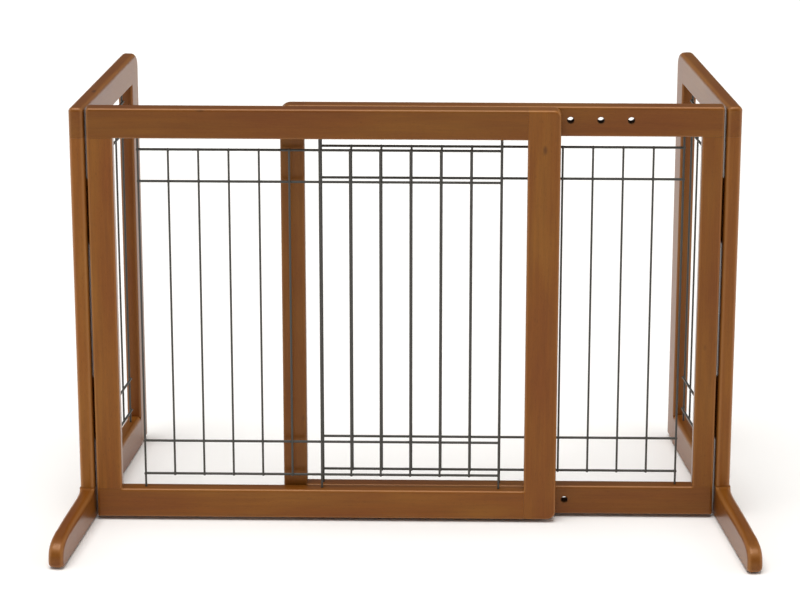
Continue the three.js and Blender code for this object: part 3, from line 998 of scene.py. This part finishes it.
# %% [markdown]
# ## Stained hardwood under satin lacquer
# The boards are a close-grained hardwood, stained a warm brown and sprayed with a satin
# clear coat. What the eye gets from that: a brown that drifts between redder and lighter
# from place to place, long soft streaks along the grain, short dark pores, a small knot
# here and there, and an even low shine from the coat. An amber lacquer with an IOR of
# 1.5 is assumed, so what it mirrors face-on is tinted a little warm.
#
# Every pattern reads the grain attribute. Squeezing it along the grain draws a noise out
# into streaks. Growth lines lie about 4 mm apart and pores are about 0.4 mm wide, drawn
# slightly coarser so that they show.
#
# Rounded edges are painted paler: partly stain wiped thin there, partly a painted
# highlight standing in for the lamp's reflection along the round-overs. A flat face looks
# along an axis of its board and a rounded edge doesn't, so the normal in the board's own
# space tells the two apart.

# %% Wood
def lacquered_wood():
    material, tree = new_tree("stained_hardwood_satin_lacquer")
    grain = add_node(tree, "Attribute", attribute_name="grain").outputs["Vector"]

    def stretched(along_mm, across_mm):
        scale = (per_metre(along_mm), per_metre(across_mm), per_metre(across_mm))
        return add_node(tree, "Mapping", {"Vector": grain, "Scale": scale}).outputs["Vector"]

    drift = add_node(tree, "TexNoise", {"Vector": stretched(160, 34), "Scale": 1, "Detail": 2})
    streaks = add_node(tree, "TexNoise", {"Vector": stretched(90, 4), "Scale": 1, "Detail": 4,
                                          "Roughness": 0.6, "Distortion": 0.3})
    fibres = add_node(tree, "TexNoise", {"Vector": stretched(14, 0.7), "Scale": 1, "Detail": 3,
                                         "Roughness": 0.65})
    pores = add_node(tree, "TexNoise", {"Vector": stretched(5, 0.45), "Scale": 1, "Detail": 1})
    knots = add_node(tree, "TexVoronoi", {"Vector": stretched(150, 70), "Scale": 1, "Randomness": 1})

    base = add_node(tree, "ValToRGB", {"Fac": drift.outputs["Fac"]})
    ramp = base.color_ramp
    ramp.elements[0].position, ramp.elements[0].color = 0.3, paint("#703C12")
    ramp.elements[1].position, ramp.elements[1].color = 0.7, paint("#7D4E18")
    middle_stop = ramp.elements.new(0.5)
    middle_stop.color = paint("#764413")

    colour = base.outputs["Color"]
    colour, _ = layer(tree, colour, streaks.outputs["Fac"], (0.35, 0.7), (0.0, 0.34), "#532A0B")
    colour, _ = layer(tree, colour, fibres.outputs["Fac"], (0.5, 0.75), (0.0, 0.22), "#8A551A")
    colour, dark = layer(tree, colour, pores.outputs["Fac"], (0.64, 0.74), (0.0, 0.45), "#40210E")
    colour, _ = layer(tree, colour, knots.outputs["Distance"], (0.03, 0.055), (0.75, 0.0), "#331A0B")

    # Painted highlight on the rounded edges, part thin stain: paler wherever the normal leaves the
    # board's axes.
    facing = add_node(tree, "TexCoord").outputs["Normal"]
    sizes = add_node(tree, "VectorMath", {0: facing}, operation="ABSOLUTE").outputs["Vector"]
    axes = add_node(tree, "SeparateXYZ", {"Vector": sizes})
    most = axes.outputs["X"]
    for axis in "YZ":
        larger = add_node(tree, "Math", {0: most, 1: axes.outputs[axis]}, operation="MAXIMUM")
        most = larger.outputs["Value"]
    colour, _ = layer(tree, colour, most, (0.98, 0.8), (0.0, 0.36), "#A87442")

    tone = add_node(tree, "Attribute", attribute_name="tone").outputs["Fac"]
    toned = add_node(tree, "HueSaturation", {"Value": tone, "Color": colour}).outputs["Color"]
    fibre = fibres.outputs["Fac"]
    shine = add_node(tree, "MapRange", {"Value": fibre, "To Min": 0.26, "To Max": 0.36})
    relief = add_node(tree, "Math", {0: dark, 1: -1.0}, operation="MULTIPLY").outputs["Value"]
    surface(tree, toned, shine.outputs["Result"], relief, 0.25, 0.1,
            IOR=1.5, Specular_Tint=paint("#FFD2B4"))
    return material


def drilled_wood():
    """Hole walls: torn end grain that drinks the stain and goes dark, with no shine."""
    material, tree = new_tree("stained_drilled_wood")
    grain = add_node(tree, "Attribute", attribute_name="grain").outputs["Vector"]
    torn = add_node(tree, "TexNoise", {"Vector": grain, "Scale": per_metre(0.8), "Detail": 3})
    colour = add_node(tree, "Mix", {"Factor": torn.outputs["Fac"], "A": paint("#4E3018"),
                                    "B": paint("#744C28")}, data_type="RGBA")
    surface(tree, colour.outputs["Result"], 0.85, torn.outputs["Fac"], 0.4, 0.1, IOR=1.3)
    return material


stained_wood = lacquered_wood()
hole_wood = drilled_wood()
for piece in wooden:
    piece.data.materials[0] = stained_wood
    piece.data.materials[1] = hole_wood
print("wooden boards:", len(wooden))

# %% [markdown]
# ## Powder-coated wire
# The lattices are steel wire with a dark grey-brown powder coat. The powder melts into a
# skin with a faint orange peel about a millimetre across and a soft shine. It hides the
# metal, so the shader is not metallic.

# %% Wire coat
def powder_coat():
    material, tree = new_tree("powder_coated_steel_wire")
    place = add_node(tree, "TexCoord").outputs["Object"]
    peel = add_node(tree, "TexNoise", {"Vector": place, "Scale": per_metre(1.1), "Detail": 2})
    colour = add_node(tree, "Mix", {"Factor": peel.outputs["Fac"], "A": paint("#34322D"),
                                    "B": paint("#423F39")}, data_type="RGBA")
    shine = add_node(tree, "MapRange", {"Value": peel.outputs["Fac"], "To Min": 0.36, "To Max": 0.52})
    relief = peel.outputs["Fac"]
    surface(tree, colour.outputs["Result"], shine.outputs["Result"], relief, 0.3, 0.06, IOR=1.5)
    return material


coat(lattices, powder_coat())

# %% [markdown]
# ## Plated metals
# The hinges are steel with a thin brass plate, rolled and tumbled before plating, which
# leaves fine scratches every way. The bolts, washers and inserts are bright zinc, with
# the faint grey clouds of a passivated coat. Both are true metals, so metallic is one and
# only the colour, the roughness and the scale of the clouds differ.

# %% Metals
def plated_metal(name, light, dark, roughness, cloud_mm):
    material, tree = new_tree(name)
    place = add_node(tree, "TexCoord").outputs["Object"]
    clouds = add_node(tree, "TexNoise", {"Vector": place, "Scale": per_metre(cloud_mm), "Detail": 4})
    scratches = add_node(tree, "TexNoise", {"Vector": place, "Scale": per_metre(0.5), "Detail": 3,
                                            "Roughness": 0.7})
    colour = add_node(tree, "Mix", {"Factor": clouds.outputs["Fac"], "A": paint(dark),
                                    "B": paint(light)}, data_type="RGBA")
    shine = add_node(tree, "MapRange", {"Value": scratches.outputs["Fac"], "To Min": roughness - 0.1,
                                        "To Max": roughness + 0.12})
    relief = scratches.outputs["Fac"]
    surface(tree, colour.outputs["Result"], shine.outputs["Result"], relief, 0.15, 0.03, Metallic=1.0)
    return material


brass_plate = plated_metal("brass_plated_steel", "#C4A468", "#A88A50", 0.3, 6)
zinc_plate = plated_metal("bright_zinc_plate", "#C9CBC9", "#A9ACAB", 0.28, 4)
coat(steel + screws, brass_plate)
coat(zinc_parts, zinc_plate)

# %% [markdown]
# ## Plastic and rubber
# The knobs are glass-filled nylon from a spark-eroded mould: black, even, with a fine
# pebble that breaks up the shine. The pads are plain moulded rubber, matt and slightly
# dusty. Both come out of a textured mould, so one function makes both materials.

# %% Plastic and rubber
def moulded(name, light, dark, roughness, pebble_mm, depth_mm, ior):
    material, tree = new_tree(name)
    place = add_node(tree, "TexCoord").outputs["Object"]
    pebble = add_node(tree, "TexVoronoi", {"Vector": place, "Scale": per_metre(pebble_mm)})
    cloud = add_node(tree, "TexNoise", {"Vector": place, "Scale": per_metre(9), "Detail": 3})
    colour = add_node(tree, "Mix", {"Factor": cloud.outputs["Fac"], "A": paint(dark),
                                    "B": paint(light)}, data_type="RGBA")
    shine = add_node(tree, "MapRange", {"Value": cloud.outputs["Fac"], "To Min": roughness - 0.06,
                                        "To Max": roughness + 0.06})
    relief = pebble.outputs["Distance"]
    surface(tree, colour.outputs["Result"], shine.outputs["Result"], relief, 0.35, depth_mm, IOR=ior)
    return material


nylon = moulded("glass_filled_nylon_black", "#242322", "#181716", 0.5, 0.6, 0.05, 1.53)
rubber = moulded("moulded_rubber_dark", "#33302D", "#262321", 0.82, 0.8, 0.03, 1.52)
coat(knobs, nylon)
coat(pads, rubber)

# %% [markdown]
# ## Bare beech, and the CAD solids that stay
# The dowels and the threaded inserts sit inside the boards and are seen only when a
# joint is opened. Their plain CAD solids are good enough, so they stay in the scene and
# only get a finish: bare beech, pale with short flecks, for the dowels, and zinc for
# the inserts.

# %% Beech, and finishes for the CAD solids
def bare_beech():
    material, tree = new_tree("bare_beech_dowel")
    place = add_node(tree, "TexCoord").outputs["Object"]
    flecks = add_node(tree, "TexNoise", {"Vector": place, "Scale": per_metre(0.9), "Detail": 3})
    colour = add_node(tree, "Mix", {"Factor": flecks.outputs["Fac"], "A": paint("#B99565"),
                                    "B": paint("#D6B98C")}, data_type="RGBA")
    surface(tree, colour.outputs["Result"], 0.65, flecks.outputs["Fac"], 0.2, 0.05)
    return material


beech = bare_beech()
for name, kept in frame["nodes"].items():
    if kept.hide_render:
        continue
    kept.data.materials.clear()
    kept.data.materials.append(beech if "dowel" in name else zinc_plate)
print("CAD nodes kept:", sum(not kept.hide_render for kept in frame["nodes"].values()))

# %% [markdown]
# ## Floor and light
# The studio is a white sweep. One large soft lamp overhead lights the floor evenly and
# leaves only faint shadows. The sky fills in, and lacquer mirrors it: it is dim at the
# horizon, so faces turned to the camera keep their deep brown, a little brighter
# overhead, and bright at both sides, so the side panels look paler than the frames.
#
# The camera itself sees plain white paper in place of that sky. Without this a low view
# would show the dim horizon as a grey band above the far edge of the floor.

# %% Floor
FLOOR_HALF = 30.0
PAPER = "#FBFAF8"
floor_mesh = bpy.data.meshes.new("floor")
signs = ((-1, -1), (1, -1), (1, 1), (-1, 1))
corners = [(x * FLOOR_HALF, y * FLOOR_HALF, 0) for x, y in signs]
floor_mesh.from_pydata(corners, [], [(0, 1, 2, 3)])
floor = add_object("floor", floor_mesh)
floor_paint, floor_tree = new_tree("white_sweep")
floor_surface = add_node(floor_tree, "BsdfDiffuse", {"Color": paint(PAPER)})
add_node(floor_tree, "OutputMaterial", {"Surface": floor_surface.outputs["BSDF"]})
floor_mesh.materials.append(floor_paint)
floor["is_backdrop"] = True
print("floor is", 2 * FLOOR_HALF, "m wide")

# %% Sky and lamp
HORIZON, OVERHEAD, AT_SIDES = 0.12, 0.2, 1.2
CEILING, WALLS = (0.2, 0.9), (0.5, 0.95)  # where the brighter parts start and are full
LAMP_POWER = 2.4
LAMP_WIDTH = 44
LAMP_TILT = (12, -5)

sky = bpy.data.worlds.new("studio")
bpy.context.scene.world = sky
sky.use_nodes = True
tree = sky.node_tree
tree.nodes.clear()
way = add_node(tree, "TexCoord").outputs["Generated"]
parts = add_node(tree, "SeparateXYZ", {"Vector": way})
sideways = add_node(tree, "Math", {0: parts.outputs["X"]}, operation="ABSOLUTE").outputs["Value"]
glow = HORIZON
rises = ((parts.outputs["Z"], CEILING, OVERHEAD), (sideways, WALLS, AT_SIDES))
for toward, (start, full), top in rises:
    limits = {"From Min": start, "From Max": full, "To Min": 0.0, "To Max": top}
    rise = add_node(tree, "MapRange", {"Value": toward, **limits}, interpolation_type="SMOOTHSTEP")
    glow = add_node(tree, "Math", {0: rise.outputs["Result"], 1: glow}, operation="ADD").outputs["Value"]
light = add_node(tree, "Background", {"Color": paint("#FFFDFA"), "Strength": glow}).outputs["Background"]
paper = add_node(tree, "Background", {"Color": paint(PAPER), "Strength": 1.0}).outputs["Background"]
seen = add_node(tree, "LightPath").outputs["Is Camera Ray"]
backdrop = add_node(tree, "MixShader", {0: seen, 1: light, 2: paper})
add_node(tree, "OutputWorld", {"Surface": backdrop.outputs["Shader"]})

lamp_data = bpy.data.lights.new("softbox", "SUN")
lamp_data.energy = LAMP_POWER
lamp_data.angle = math.radians(LAMP_WIDTH)
lamp = add_object("softbox", lamp_data)
lamp.rotation_euler = (*[math.radians(turn) for turn in LAMP_TILT], 0)
bpy.context.scene.view_settings.view_transform = "Standard"
print("lamp power", LAMP_POWER, "and width", LAMP_WIDTH, "degrees")

# %% [markdown]
# ## Measure and finish
# The fine model should fill the CAD model's box and no more; its box is measured and printed.

# %% Sizes and finish
low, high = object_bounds()
boxes = {"cad": [list(cad_low), list(cad_high)], "visual": [list(low), list(high)]}
print("visual box in mm:", [round(side / MM, 1) for side in high - low])
